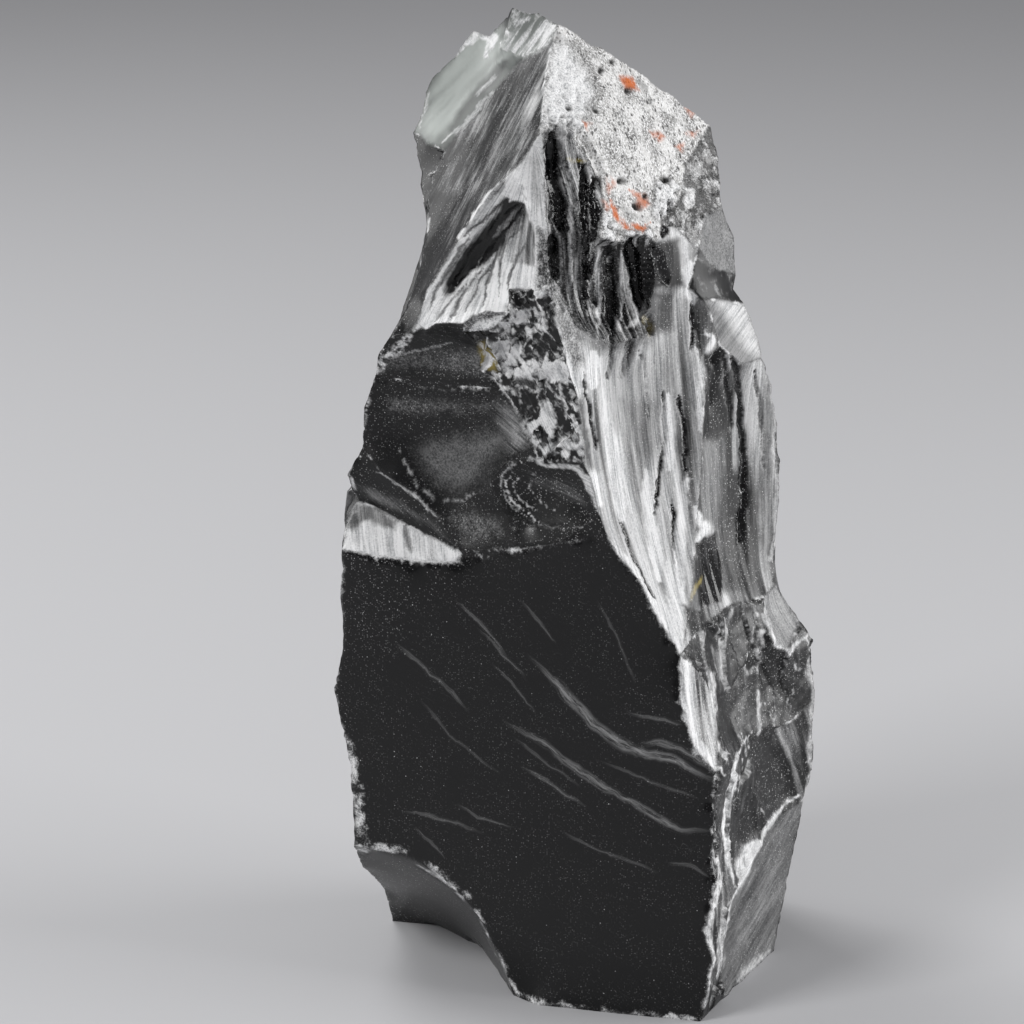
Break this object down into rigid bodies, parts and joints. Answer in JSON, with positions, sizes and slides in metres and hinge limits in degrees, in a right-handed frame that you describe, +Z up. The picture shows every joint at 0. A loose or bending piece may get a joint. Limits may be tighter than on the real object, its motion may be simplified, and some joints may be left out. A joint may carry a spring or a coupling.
{
  "type": "obsidian chunk",
  "caption": "Tall standing chunk of black volcanic glass with struck facets, fluted side, glassy crest and a cap of grey pitted rind.",
  "frame": {"origin": "middle of the bounding box in X and Y, on the flat that the stone stands on", "axes": "+Z up along the stone's length, -Y towards the side that the broad black face is on, +X to the right of that side"},
  "size_m": [0.1116, 0.086, 0.224],
  "materials": {
    "obsidian": "glossy black volcanic glass, frosted on crushed facets, with a dull grey pitted rind at the top right"
  },
  "bodies": {
    "root": {"obsidian_chunk": "obsidian"}
  },
  "joints": []
}
